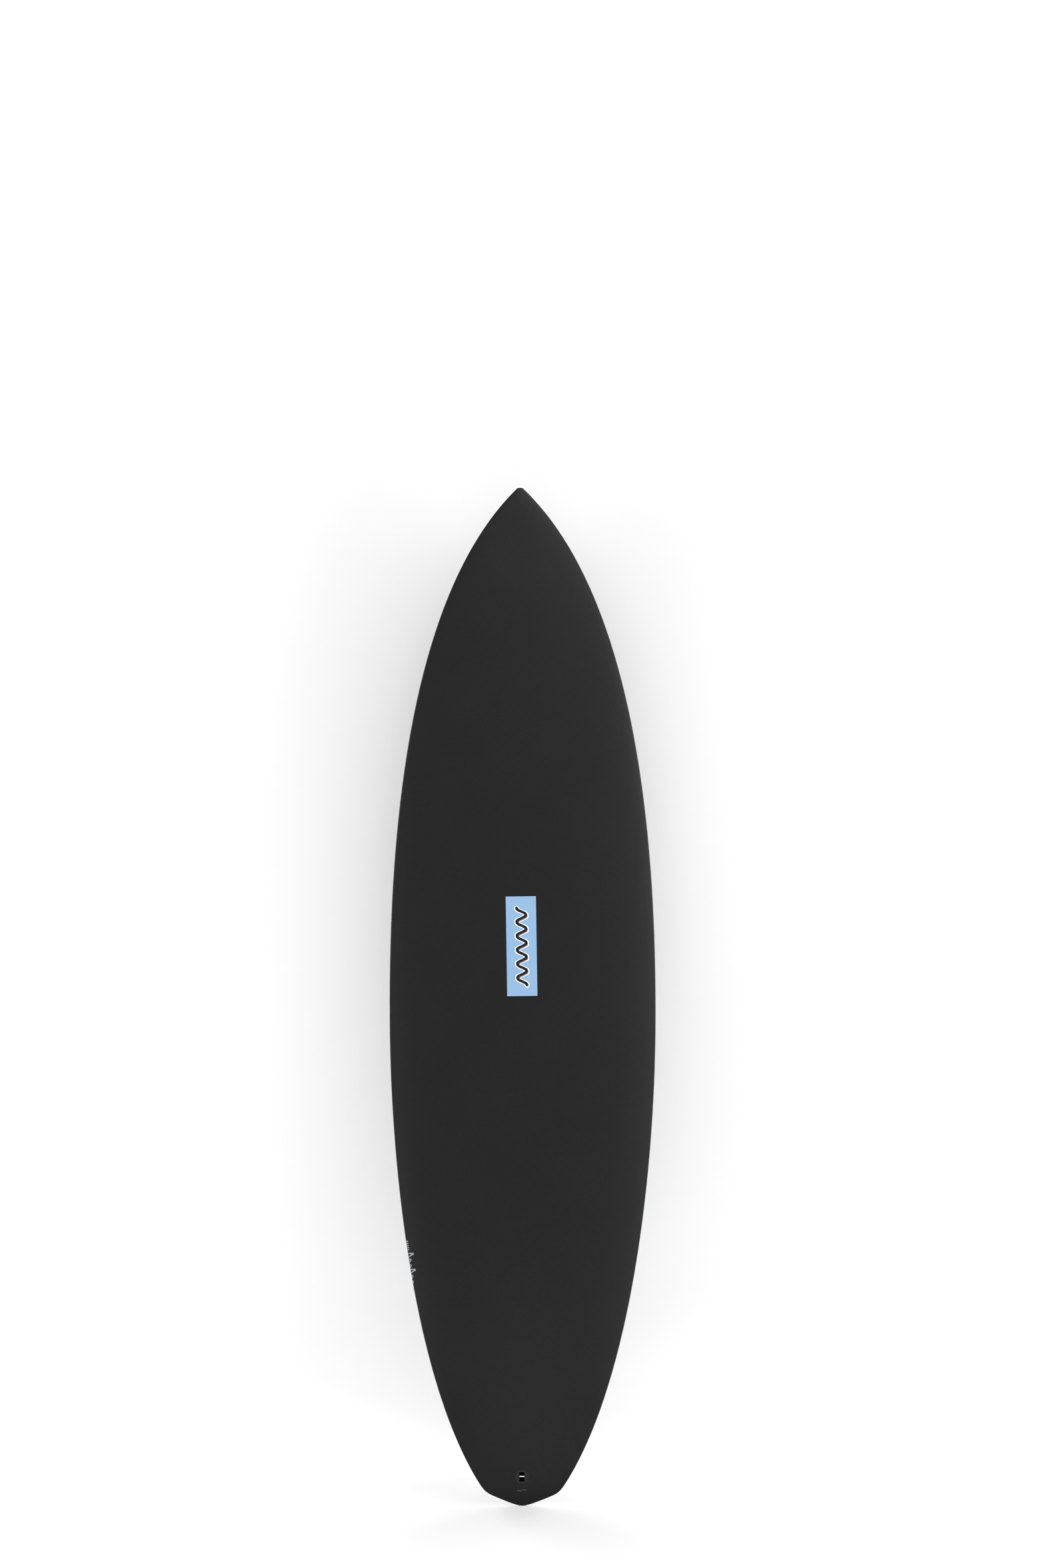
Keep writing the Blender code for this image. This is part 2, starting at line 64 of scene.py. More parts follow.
# Half the outline as five Bezier curves end to end: (half width, distance from the tail tip).
OUTLINE = [
    (0.0000, 0.0000), (0.0090, 0.0000), (0.0220, 0.0046),
    (0.0484, 0.0150), (0.0666, 0.0221), (0.0708, 0.0250),
    (0.0833, 0.0444), (0.1975, 0.2213), (0.2497, 0.5900),
    (0.2497, 0.9095), (0.2497, 1.1360), (0.2364, 1.6640),
    (0.0055, 1.8788), (0.0045, 1.8797), (0.0025, 1.8800),
    (0.0000, 1.8800),
]
SKIN_SPANS = (12, 14, 66, 78, 6)
LENGTH = OUTLINE[-1][1]

NOSE_ROCKER = 0.127
TAIL_ROCKER = 0.060
FLAT_SPOT = 0.46 * LENGTH
NOSE_ROCKER_POWER = 2.3
TAIL_ROCKER_POWER = 2.1
THICKNESS = 0.0635
TAIL_THICKNESS = 0.014
NOSE_THICKNESS = 0.009
THICKEST_AT = 0.95
TAIL_FOIL_POWER = 2.0
NOSE_FOIL_POWER = 2.2
TAIL_APEX = 0.20
NOSE_APEX = 0.44
DECK_WIDTH_POWER = 2.3
DECK_HEIGHT_POWER = 1.9
TAIL_TUCK_POWER = 22.0
NOSE_TUCK_POWER = 8.0
CONCAVE = 0.0025
TAIL_HUB = 0.035
NOSE_HUB = 1.850
HUB_BLEND = 0.030
LAMINATE = 0.0008
LAP_SHARE = 0.90
LAP_SEAM = 0.0003
DECK_STEPS = 26
LAP_STEPS = 8
BOTTOM_STEPS = 12
FINE_SPANS = 40
FRAME_STEP = 0.002


def cubic(points, t):
    """The point at t along a Bezier curve of four points."""
    p0, p1, p2, p3 = (Vector(p) for p in points)
    s = 1.0 - t
    return s ** 3 * p0 + 3 * s * s * t * p1 + 3 * s * t * t * p2 + t ** 3 * p3


def outline_points(spans_per_curve):
    points = [Vector(OUTLINE[0])]
    for curve, spans in enumerate(spans_per_curve):
        handles = OUTLINE[3 * curve:3 * curve + 4]
        points += [cubic(handles, (k + 1) / spans) for k in range(spans)]
    return points


FINE_OUTLINE = outline_points([FINE_SPANS] * len(SKIN_SPANS))
OUTLINE_Z = [p.y for p in FINE_OUTLINE]
OUTLINE_X = [p.x for p in FINE_OUTLINE]


def half_width(z):
    return float(np.interp(z, OUTLINE_Z, OUTLINE_X))


def rocker(z):
    to_nose = max(z - FLAT_SPOT, 0.0) / (LENGTH - FLAT_SPOT)
    to_tail = max(FLAT_SPOT - z, 0.0) / FLAT_SPOT
    return NOSE_ROCKER * to_nose ** NOSE_ROCKER_POWER + TAIL_ROCKER * to_tail ** TAIL_ROCKER_POWER


def thickness(z):
    if z < THICKEST_AT:
        away = (THICKEST_AT - z) / THICKEST_AT
        return THICKNESS - (THICKNESS - TAIL_THICKNESS) * away ** TAIL_FOIL_POWER
    away = (z - THICKEST_AT) / (LENGTH - THICKEST_AT)
    return THICKNESS - (THICKNESS - NOSE_THICKNESS) * away ** NOSE_FOIL_POWER


def along(z, at_tail, at_nose):
    return at_tail + (at_nose - at_tail) * z / LENGTH


def deck_height(z, share):
    apex = along(z, TAIL_APEX, NOSE_APEX) * thickness(z)
    rise = max(1.0 - share ** DECK_WIDTH_POWER, 0.0) ** (1.0 / DECK_HEIGHT_POWER)
    return rocker(z) + apex + (thickness(z) - apex) * rise


def bottom_height(z, share):
    apex = along(z, TAIL_APEX, NOSE_APEX) * thickness(z)
    tuck = 1.0 - math.sqrt(max(1.0 - share ** along(z, TAIL_TUCK_POWER, NOSE_TUCK_POWER), 0.0))
    hollow = CONCAVE * math.sin(math.pi * z / LENGTH) * (1.0 - share ** 2)
    return rocker(z) + apex * tuck + hollow


BASE_Y = rocker(0.0) + TAIL_APEX * TAIL_THICKNESS


def hub(z):
    """The height on the centre line that the skin's row at this edge height starts from."""
    reach = math.hypot(z - TAIL_HUB, HUB_BLEND)
    raised = 0.5 * (z + TAIL_HUB + reach)
    return 0.5 * (raised + NOSE_HUB - math.hypot(raised - NOSE_HUB, HUB_BLEND))


def skin_point(edge, share, height):
    """The point a share of the way out from the hub to a point of the outline."""
    z = hub(edge.y) + (edge.y - hub(edge.y)) * share
    z = min(max(z, 0.0), LENGTH)
    return Vector((edge.x * share, BASE_Y - height(z, share), z))


def deck_point(x, z):
    return Vector((x, BASE_Y - deck_height(z, abs(x) / half_width(z)), z))


def bottom_point(x, z):
    return Vector((x, BASE_Y - bottom_height(z, abs(x) / half_width(z)), z))


def surface_frame(surface, x, z, outward):
    """A frame on the board: +Z out of the surface, +Y towards the nose."""
    forward = (surface(x, z + FRAME_STEP) - surface(x, z - FRAME_STEP)).normalized()
    across = surface(x + FRAME_STEP, z) - surface(x - FRAME_STEP, z)
    out = forward.cross(across).normalized()
    if out.y * outward < 0:
        out.negate()
    side = forward.cross(out)
    placed = Matrix((side, forward, out)).transposed().to_4x4()
    placed.translation = surface(x, z)
    return placed


# ---------------------------------------------------------------- materials

class Nodes:
    """A material's node tree, with short calls for what the materials below repeat."""

    def __init__(self, name, roughness, metallic=0.0, specular=0.5):
        self.material = bpy.data.materials.new(name)
        self.material.use_nodes = True
        self.tree = self.material.node_tree
        self.shader = self.tree.nodes["Principled BSDF"]
        self.shader.inputs["Metallic"].default_value = metallic
        self.shader.inputs["Specular IOR Level"].default_value = specular
        self.shader.inputs["Roughness"].default_value = roughness

    def feed(self, socket, value):
        if isinstance(value, bpy.types.NodeSocket):
            self.tree.links.new(value, socket)
        elif value is not None:
            socket.default_value = value

    def math(self, operation, a, b=None, c=None, clamp=False):
        node = self.tree.nodes.new("ShaderNodeMath")
        node.operation = operation
        node.use_clamp = clamp
        for socket, value in zip(node.inputs, (a, b, c)):
            self.feed(socket, value)
        return node.outputs[0]

    def mix(self, share, first, second):
        node = self.tree.nodes.new("ShaderNodeMix")
        node.data_type = "RGBA"
        self.feed(node.inputs[0], share)
        self.feed(node.inputs[6], first)
        self.feed(node.inputs[7], second)
        return node.outputs[2]

    def spread(self, value, low, high):
        """0..1 stretched to low..high."""
        return self.math("MULTIPLY_ADD", value, high - low, low)

    def surface_place(self):
        """The UV map's two lengths along the surface, in metres."""
        node = self.tree.nodes.new("ShaderNodeUVMap")
        node.uv_map = "cloth"
        split = self.tree.nodes.new("ShaderNodeSeparateXYZ")
        self.tree.links.new(node.outputs[0], split.inputs[0])
        return split.outputs[0], split.outputs[1], node.outputs[0]

    def object_place(self):
        return self.tree.nodes.new("ShaderNodeTexCoord").outputs["Object"]

    def noise(self, place, per_metre, detail=3.0, stretch=None):
        node = self.tree.nodes.new("ShaderNodeTexNoise")
        node.inputs["Scale"].default_value = per_metre
        node.inputs["Detail"].default_value = detail
        if stretch:
            mapping = self.tree.nodes.new("ShaderNodeMapping")
            mapping.inputs["Scale"].default_value = stretch
            self.tree.links.new(place, mapping.inputs[0])
            place = mapping.outputs[0]
        self.tree.links.new(place, node.inputs["Vector"])
        return node.outputs[0]

    def bump(self, height, distance, strength=1.0):
        node = self.tree.nodes.new("ShaderNodeBump")
        node.inputs["Distance"].default_value = distance
        node.inputs["Strength"].default_value = strength
        self.feed(node.inputs["Height"], height)
        self.tree.links.new(node.outputs[0], self.shader.inputs["Normal"])

    def colour(self, value):
        self.feed(self.shader.inputs["Base Color"], value)

    def roughness(self, value):
        self.feed(self.shader.inputs["Roughness"], value)


def grey(level):
    return (level, level, level, 1.0)


TOW = 0.00245
TOW_CONTRAST = (0.70, 1.30)
CLOUD_CONTRAST = (0.86, 1.14)
FIBRE_CONTRAST = (0.80, 1.20)
WEAVE_DEPTH = 0.00012
WEAVE_BLACK = (0.0188, 0.0189, 0.0193, 1.0)


def weave_material():
    """Plain-weave cloth under a matte resin: tows cross over and under in a checker."""
    m = Nodes("black_weave", 0.6, specular=0.08)
    u, v, place = m.surface_place()
    across = m.math("DIVIDE", u, TOW)
    length = m.math("DIVIDE", v, TOW)
    parity = m.math("MODULO", m.math("ADD", m.math("FLOOR", across), m.math("FLOOR", length)), 2.0)
    over = m.math("ABSOLUTE", parity)
    crown_u = m.math("ABSOLUTE", m.math("SINE", m.math("MULTIPLY", across, math.pi)))
    crown_v = m.math("ABSOLUTE", m.math("SINE", m.math("MULTIPLY", length, math.pi)))
    warp = m.math("MULTIPLY", crown_u, m.math("SQRT", crown_v))
    weft = m.math("MULTIPLY", crown_v, m.math("SQRT", crown_u))
    height = m.math("ADD", m.math("MULTIPLY", warp, over),
                    m.math("MULTIPLY", weft, m.math("SUBTRACT", 1.0, over)))
    cloud = m.noise(place, 9.0, 4.0)
    fibre = m.noise(place, 900.0, 2.0)
    shade = m.math("MULTIPLY", m.spread(over, *TOW_CONTRAST), m.spread(cloud, *CLOUD_CONTRAST))
    shade = m.math("MULTIPLY", shade, m.spread(fibre, *FIBRE_CONTRAST))
    m.colour(m.mix(m.math("MULTIPLY", shade, 0.5, clamp=True), grey(0.0), WEAVE_BLACK))
    m.roughness(m.math("ADD", m.spread(cloud, 0.54, 0.64), m.spread(over, -0.04, 0.04)))
    m.bump(m.math("ADD", m.math("MULTIPLY", height, 0.8), m.math("MULTIPLY", fibre, 0.2)),
           WEAVE_DEPTH, 0.6)
    return m.material


LABEL_WIDTH = 0.056
LABEL_LENGTH = 0.185
LABEL_AT = 1.0385
LABEL_TILT = math.radians(0.8)
LABEL_COLUMNS, LABEL_ROWS = 12, 40
LABEL_LIFT = 0.0001
LABEL_FILM = 0.0001
WAVE_HEIGHT = 0.0083
WAVE_LENGTH = 0.0260
WAVE_REACH = 2.75 * WAVE_LENGTH
WAVE_INK = 0.0026
WAVE_KEYLINE = 0.0037
WAVE_SHADOW = (0.0012, 0.0016)
LABEL_BLUE = (0.202, 0.328, 0.486, 1.0)
LABEL_DEEP_BLUE = (0.194, 0.315, 0.467, 1.0)
LABEL_WHITE = (0.86, 0.87, 0.88, 1.0)
LABEL_INK = (0.006, 0.006, 0.007, 1.0)
LABEL_SHADOW = (0.16, 0.12, 0.13, 1.0)


def wave_distance(m, u, v):
    """Distance from a sine line along v with round ends, roughly square to the line."""
    along_line = m.math("MAXIMUM", m.math("MINIMUM", v, WAVE_REACH), -WAVE_REACH)
    turn = m.math("MULTIPLY", along_line, 2 * math.pi / WAVE_LENGTH)
    line = m.math("MULTIPLY", m.math("SINE", turn), WAVE_HEIGHT)
    slope = m.math("MULTIPLY", m.math("COSINE", turn), WAVE_HEIGHT * 2 * math.pi / WAVE_LENGTH)
    square = m.math("SQRT", m.math("MULTIPLY_ADD", slope, slope, 1.0))
    across = m.math("DIVIDE", m.math("SUBTRACT", u, line), square)
    past_end = m.math("SUBTRACT", v, along_line)
    past_squared = m.math("MULTIPLY", past_end, past_end)
    return m.math("SQRT", m.math("MULTIPLY_ADD", across, across, past_squared))


def label_material():
    """Pale blue film with a generic bold wave line, keyed in white."""
    m = Nodes("label_print", 0.42, specular=0.15)
    u, v, place = m.surface_place()
    line = wave_distance(m, u, v)
    shift_u, shift_v = WAVE_SHADOW
    below = wave_distance(m, m.math("SUBTRACT", u, shift_u), m.math("ADD", v, shift_v))
    ink = m.math("LESS_THAN", line, WAVE_INK)
    shadow = m.math("LESS_THAN", below, WAVE_INK)
    key = m.math("MAXIMUM", m.math("LESS_THAN", line, WAVE_KEYLINE),
                 m.math("LESS_THAN", below, WAVE_KEYLINE))
    cloud = m.noise(place, 60.0)
    colour = m.mix(key, m.mix(cloud, LABEL_DEEP_BLUE, LABEL_BLUE), LABEL_WHITE)
    colour = m.mix(shadow, colour, LABEL_SHADOW)
    m.colour(m.mix(ink, colour, LABEL_INK))
    m.roughness(m.spread(cloud, 0.38, 0.48))
    m.bump(m.noise(place, 700.0, 2.0), 0.00004, 0.3)
    return m.material


def mark_material():
    """Uneven pale ink of the mark on the rail."""
    m = Nodes("mark_ink", 0.5, specular=0.1)
    place = m.object_place()
    m.colour(m.mix(m.noise(place, 400.0), (0.15, 0.16, 0.18, 1.0), (0.34, 0.36, 0.39, 1.0)))
    return m.material


def faint_mark_material():
    """Grey ink of the dashes near the tail, hardly lighter than the cloth."""
    m = Nodes("faint_ink", 0.5, specular=0.08)
    place = m.object_place()
    m.colour(m.mix(m.noise(place, 400.0), (0.026, 0.028, 0.035, 1.0), (0.039, 0.041, 0.049, 1.0)))
    return m.material


def nylon_material():
    """Moulded black plastic of the leash plug and the fin boxes."""
    m = Nodes("black_nylon", 0.55, specular=0.12)
    place = m.object_place()
    grain = m.noise(place, 1500.0, 2.0)
    cloud = m.noise(place, 120.0)
    m.colour(m.mix(cloud, (0.0095, 0.0095, 0.0100, 1.0), (0.0130, 0.0130, 0.0135, 1.0)))
    m.roughness(m.spread(cloud, 0.50, 0.62))
    m.bump(grain, 0.00003, 0.5)
    return m.material


def painted_shade_material():
    """Painted shade inside the slot and the pin's hole: the same nylon painted near black, rough
    and without sheen.
    """
    m = Nodes("painted_shade_black", 0.9, specular=0.02)
    place = m.object_place()
    m.colour(m.mix(m.noise(place, 300.0), (0.0010, 0.0010, 0.0011, 1.0),
                   (0.0022, 0.0022, 0.0024, 1.0)))
    return m.material


def steel_material():
    """Stainless steel with fine marks that run along X."""
    m = Nodes("stainless_steel", 0.25, metallic=1.0)
    place = m.object_place()
    brushed = m.noise(place, 900.0, 2.0, stretch=(0.08, 1.0, 1.0))
    m.colour(m.mix(brushed, (0.60, 0.59, 0.57, 1.0), (0.78, 0.77, 0.75, 1.0)))
    m.roughness(m.spread(brushed, 0.28, 0.42))
    m.bump(brushed, 0.00002, 0.4)
    return m.material


def fin_material():
    """Dark moulded composite: short fibres under a satin resin."""
    m = Nodes("fin_composite", 0.3, specular=0.5)
    place = m.object_place()
    fibre = m.noise(place, 260.0, 3.0, stretch=(1.0, 0.25, 1.6))
    cloud = m.noise(place, 30.0)
    m.colour(m.mix(fibre, (0.012, 0.0125, 0.014, 1.0), (0.045, 0.046, 0.050, 1.0)))
    m.roughness(m.spread(cloud, 0.26, 0.40))
    m.bump(fibre, 0.00004, 0.3)
    return m.material


def foam_material():
    """Closed-cell foam: pale cells with slightly darker walls."""
    m = Nodes("foam", 0.9, specular=0.3)
    place = m.object_place()
    cells = m.tree.nodes.new("ShaderNodeTexVoronoi")
    cells.inputs["Scale"].default_value = 420.0
    m.tree.links.new(place, cells.inputs["Vector"])
    m.colour(m.mix(cells.outputs["Distance"], (0.86, 0.86, 0.82, 1.0), (0.74, 0.74, 0.69, 1.0)))
    m.bump(cells.outputs["Distance"], 0.0002, 0.6)
    return m.material


def ply_material():
    """Wood grain that runs along the stringer."""
    m = Nodes("stringer_ply", 0.6)
    place = m.object_place()
    grain = m.noise(place, 220.0, 4.0, stretch=(1.0, 1.0, 0.05))
    m.colour(m.mix(grain, (0.50, 0.34, 0.19, 1.0), (0.72, 0.54, 0.34, 1.0)))
    m.roughness(m.spread(grain, 0.55, 0.75))
    m.bump(grain, 0.0001, 0.4)
    return m.material


# ---------------------------------------------------------------- mesh helpers

SMOOTH_ANGLE = math.radians(35)
BEVEL_ANGLE = math.radians(50)
CORNER_SEGMENTS = 6
WELD = 0.000001
SKIN_WELD = 0.000002


def add_piece(name, bm, finish):
    mesh = bpy.data.meshes.new(name)
    bm.to_mesh(mesh)
    bm.free()
    mesh.shade_smooth()
    mesh.set_sharp_from_angle(angle=SMOOTH_ANGLE)
    made = bpy.data.objects.new(name, mesh)
    bpy.context.scene.collection.objects.link(made)
    if finish:
        mesh.materials.append(finish)
    return made


def apply_modifiers(piece):
    """Replace a piece's mesh with what its modifiers make of it."""
    graph = bpy.context.evaluated_depsgraph_get()
    made = bpy.data.meshes.new_from_object(piece.evaluated_get(graph))
    made.set_sharp_from_angle(angle=SMOOTH_ANGLE)
    piece.modifiers.clear()
    piece.data = made


def cut_with(piece, cutters):
    """Cut the cutters out of a piece; each cut face keeps its cutter's material, if it has one."""
    for cutter in cutters:
        boolean = piece.modifiers.new("cut", "BOOLEAN")
        boolean.operation = "DIFFERENCE"
        boolean.solver = "EXACT"
        boolean.material_mode = "TRANSFER"
        boolean.object = cutter
    apply_modifiers(piece)


def join_with(piece, others):
    for other in others:
        boolean = piece.modifiers.new("join", "BOOLEAN")
        boolean.operation = "UNION"
        boolean.solver = "EXACT"
        boolean.object = other
    apply_modifiers(piece)


def place(piece, where):
    """Move a piece's mesh to its place, so that the piece itself stays at the origin."""
    piece.data.transform(where)
    piece.data.update()


def stand_for(piece, body, node):
    """Let a piece take the place of its CAD node and move with its body."""
    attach(piece, body)
    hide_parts(node)


def drop(objects):
    for unwanted in objects:
        bpy.data.objects.remove(unwanted)


def round_edges(piece, width, segments):
    bevel = piece.modifiers.new("soft edges", "BEVEL")
    bevel.width = width
    bevel.segments = segments
    bevel.limit_method = "ANGLE"
    bevel.angle_limit = BEVEL_ANGLE
    bevel.harden_normals = True
    apply_modifiers(piece)


def rod_bmesh(radius, low, high, sides):
    bm = bmesh.new()
    bmesh.ops.create_cone(bm, cap_ends=True, segments=sides, radius1=radius, radius2=radius,
                          depth=high - low)
    bmesh.ops.translate(bm, vec=(0, 0, (high + low) / 2), verts=bm.verts)
    return bm


def block_bmesh(size, centre, corner=0.0):
    """A box whose edges along Z are rounded."""
    bm = bmesh.new()
    bmesh.ops.create_cube(bm, size=1.0)
    bmesh.ops.scale(bm, vec=size, verts=bm.verts)
    bmesh.ops.translate(bm, vec=centre, verts=bm.verts)
    if corner:
        upright = [e for e in bm.edges
                   if abs(e.verts[0].co.z - e.verts[1].co.z) > 0.5 * size[2]]
        bmesh.ops.bevel(bm, geom=upright, offset=corner, segments=CORNER_SEGMENTS, profile=0.5,
                        affect="EDGES")
    return bm


def turned_bmesh(profile, steps):
    """A closed solid turned from a half section that starts and ends on the axis."""
    bm = bmesh.new()
    verts = [bm.verts.new((radius, 0.0, z)) for radius, z in profile]
    edges = [bm.edges.new(pair) for pair in zip(verts, verts[1:])]
    bmesh.ops.spin(bm, geom=verts + edges, cent=(0, 0, 0), axis=(0, 0, 1),
                   angle=2 * math.pi, steps=steps)
    bmesh.ops.remove_doubles(bm, verts=bm.verts, dist=WELD)
    bmesh.ops.recalc_face_normals(bm, faces=bm.faces)
    return bm


# ---------------------------------------------------------------- skins

def skin_ring(shares_and_heights):
    """One side's ring mirrored, so that it runs from the left border to the right one."""
    right = [(share, height, 1) for share, height in shares_and_heights]
    left = [(share, height, -1) for share, height in shares_and_heights[1:]]
    return left[::-1] + right


def deck_side(reach):
    """From the deck's middle over the rail to the lap, the same at any reach."""
    ring = []
    for k in range(DECK_STEPS + 1):
        angle = math.pi / 2 * (1 - k / DECK_STEPS)
        share = math.cos(angle) ** (2.0 / DECK_WIDTH_POWER) if k else 0.0
        ring.append((share, deck_height))
    for k in range(1, LAP_STEPS + 1):
        turn = math.sin(math.pi / 2 * k / LAP_STEPS)
        share = 1.0 - (1.0 - LAP_SHARE) * (1 - math.cos(math.pi / 2 * turn))
        ring.append((share, bottom_height))
    return ring


def bottom_side(reach):
    """From the bottom's middle to a seam's width short of the deck skin's lap."""
    border = LAP_SHARE - LAP_SEAM / reach
    return [(border * k / BOTTOM_STEPS, bottom_height) for k in range(BOTTOM_STEPS + 1)]


def skin_piece(name, side_of, finish):
    """A skin through rows from border to border; its UV map is the cloth laid out flat."""
    bm = bmesh.new()
    cloth = bm.loops.layers.uv.new("cloth")
    rows, flats = [], []
    for edge in outline_points(SKIN_SPANS):
        hub_at = Vector((0.0, hub(edge.y)))
        reach = max((edge - hub_at).length, 1e-6)
        towards = (edge - hub_at) / reach
        ring = skin_ring(side_of(reach))
        points = [skin_point(edge, share, height) for share, height, _ in ring]
        for point, (_, _, side) in zip(points, ring):
            point.x *= side
        middle = len(ring) // 2
        run = [0.0] * len(ring)
        for k in range(middle + 1, len(ring)):
            run[k] = run[k - 1] + (points[k] - points[k - 1]).length
            run[-1 - k] = run[k]
        rows.append([bm.verts.new(p) for p in points])
        flats.append([(side * towards.x * r, hub_at.y + towards.y * r)
                      for r, (_, _, side) in zip(run, ring)])
    for i in range(len(rows) - 1):
        for k in range(len(rows[i]) - 1):
            corners = ((i, k), (i, k + 1), (i + 1, k + 1), (i + 1, k))
            face = bm.faces.new([rows[a][b] for a, b in corners])
            for loop, (a, b) in zip(face.loops, corners):
                loop[cloth].uv = flats[a][b]
    bmesh.ops.remove_doubles(bm, verts=bm.verts, dist=SKIN_WELD)
    bmesh.ops.dissolve_degenerate(bm, edges=bm.edges, dist=SKIN_WELD)
    bmesh.ops.recalc_face_normals(bm, faces=bm.faces)
    flat_face = max(bm.faces, key=lambda f: abs(f.normal.y) * f.calc_area())
    outward = -1 if side_of is deck_side else 1
    if flat_face.normal.y * outward < 0:
        bmesh.ops.reverse_faces(bm, faces=bm.faces)
    skin = add_piece(name, bm, finish)
    solidify = skin.modifiers.new("laminate", "SOLIDIFY")
    solidify.thickness = LAMINATE
    solidify.offset = -1.0
    apply_modifiers(skin)
    return skin


# ---------------------------------------------------------------- label and marks

def build_label(finish):
    """A thin tilted film that follows the deck."""
    bm = bmesh.new()
    cloth = bm.loops.layers.uv.new("cloth")
    bmesh.ops.create_grid(bm, x_segments=LABEL_COLUMNS, y_segments=LABEL_ROWS, size=0.5)
    for face in bm.faces:
        for loop in face.loops:
            loop[cloth].uv = (loop.vert.co.x * LABEL_WIDTH, loop.vert.co.y * LABEL_LENGTH)
    for vert in bm.verts:
        flat = Vector((vert.co.x * LABEL_WIDTH, vert.co.y * LABEL_LENGTH))
        flat.rotate(Matrix.Rotation(LABEL_TILT, 2))
        vert.co = deck_point(flat.x, LABEL_AT + flat.y) - Vector((0, LABEL_LIFT, 0))
    for face in bm.faces:
        face.normal_update()
    if next(iter(bm.faces)).normal.y > 0:
        bmesh.ops.reverse_faces(bm, faces=bm.faces)
    label = add_piece("label", bm, finish)
    film = label.modifiers.new("film", "SOLIDIFY")
    film.thickness = LABEL_FILM
    film.offset = 1.0
    apply_modifiers(label)
    return label


MARK_FILM = 0.00006
MARK_LIFT = 0.00012
MARK_FRAME_STEP = 0.005
RAIL_WAVE_LOW = 0.4005
RAIL_WAVE_LENGTH = 0.059
RAIL_WAVE_SWINGS = (0.06, 0.08, 0.15, 0.08, 0.10, 0.16)
RAIL_WAVE_LEAN = 0.020
RAIL_WAVE_EDGE = 0.04
RAIL_STROKE = 0.0010
RAIL_DASHES = (0.4650, 0.4690, 0.4730, 0.4770, 0.4810)
DASH_WRAP = (0.04, 0.22)
DASH_SLANT = 0.0022
STROKE_STEPS = 24
TAIL_DASHES = ((-0.0088, -0.0008), (0.0006, 0.0086))
TAIL_DASH_AT = 0.0318
TAIL_DASH_RISE = 0.0006
TAIL_STROKE = 0.0012


def mark_ribbon(bm, path, stroke):
    """A flat printed stroke, twice as wide as given, along (point, outward) pairs on the skin."""
    pairs = []
    for k, (point, out) in enumerate(path):
        before, after = path[max(k - 1, 0)][0], path[min(k + 1, len(path) - 1)][0]
        side = (after - before).cross(out).normalized() * stroke
        lifted = point + out * MARK_LIFT
        pairs.append((bm.verts.new(lifted - side), bm.verts.new(lifted + side)))
    for first, second in zip(pairs, pairs[1:]):
        bm.faces.new((first[0], first[1], second[1], second[0]))


def mark_piece(name, paths, stroke, finish):
    bm = bmesh.new()
    for path in paths:
        mark_ribbon(bm, path, stroke)
    bmesh.ops.recalc_face_normals(bm, faces=bm.faces)
    mark = add_piece(name, bm, finish)
    film = mark.modifiers.new("film", "SOLIDIFY")
    film.thickness = MARK_FILM
    film.offset = 0.0
    apply_modifiers(mark)
    return mark


def rail_point(z, wrap):
    """A point of the left rail; wrap is 0 at the widest line and grows over the deck."""
    share = math.cos(wrap) ** (2.0 / DECK_WIDTH_POWER)
    return Vector((-half_width(z) * share, BASE_Y - deck_height(z, share), z))


def rail_place(z, wrap):
    """The point, with the direction that faces out of the skin there."""
    around = (rail_point(z, wrap + MARK_FRAME_STEP)
              - rail_point(z, max(wrap - MARK_FRAME_STEP, 0.0)))
    length = rail_point(z + MARK_FRAME_STEP, wrap) - rail_point(z - MARK_FRAME_STEP, wrap)
    return rail_point(z, wrap), around.cross(length).normalized()


def rail_wave():
    """A leaning wave along the rail, each of whose turns swings its own way over the deck."""
    turns = len(RAIL_WAVE_SWINGS)
    path = [rail_place(RAIL_WAVE_LOW, RAIL_WAVE_EDGE)]
    for turn, reach in enumerate(RAIL_WAVE_SWINGS):
        for k in range(1, STROKE_STEPS + 1):
            share = k / STROKE_STEPS
            swing = reach * (1 - math.cos(2 * math.pi * share))
            z = RAIL_WAVE_LOW + RAIL_WAVE_LENGTH * (turn + share) / turns + RAIL_WAVE_LEAN * swing
            path.append(rail_place(z, RAIL_WAVE_EDGE + swing))
    return path


def rail_dash(z):
    """A short slanted dash across the left rail."""
    low, high = DASH_WRAP
    shares = [k / STROKE_STEPS for k in range(STROKE_STEPS + 1)]
    return [rail_place(z + DASH_SLANT * share, low + (high - low) * share) for share in shares]


def tail_dash(start, end):
    """A short dash across the deck near the tail."""
    path = []
    for k in range(STROKE_STEPS + 1):
        x = start + (end - start) * k / STROKE_STEPS
        z = TAIL_DASH_AT + TAIL_DASH_RISE * (1 if x > 0 else -1)
        path.append((deck_point(x, z), Vector((0, -1, 0))))
    return path


# ---------------------------------------------------------------- leash plug

PLUG_AT = 0.0561
PLUG_RADIUS = 0.0125
PLUG_BODY_RADIUS = 0.0116
PLUG_GROOVE_RADIUS = 0.0108
PLUG_FLANGE = 0.002
PLUG_DEPTH = 0.0135
PLUG_EDGE = 0.0003
PLUG_RIM_STEPS = 5
PLUG_GROOVE = (0.40, 0.45, 0.60, 0.65)
PLUG_SOFTNESS = 0.00025
SLOT_WIDTH = 0.0095
SLOT_LENGTH = 0.0173
SLOT_DEPTH = 0.0110
SLOT_CORNER = 0.0012
PIN_RADIUS = 0.0016
PIN_LENGTH = 0.0195
PIN_DEPTH = 0.0042
GAP = 0.0003
SEAM = 0.0001
CUTTER_REACH = 0.012
PLUG_SIDES = 96
ROD_SIDES = 48
HOLE_SIDES = 32


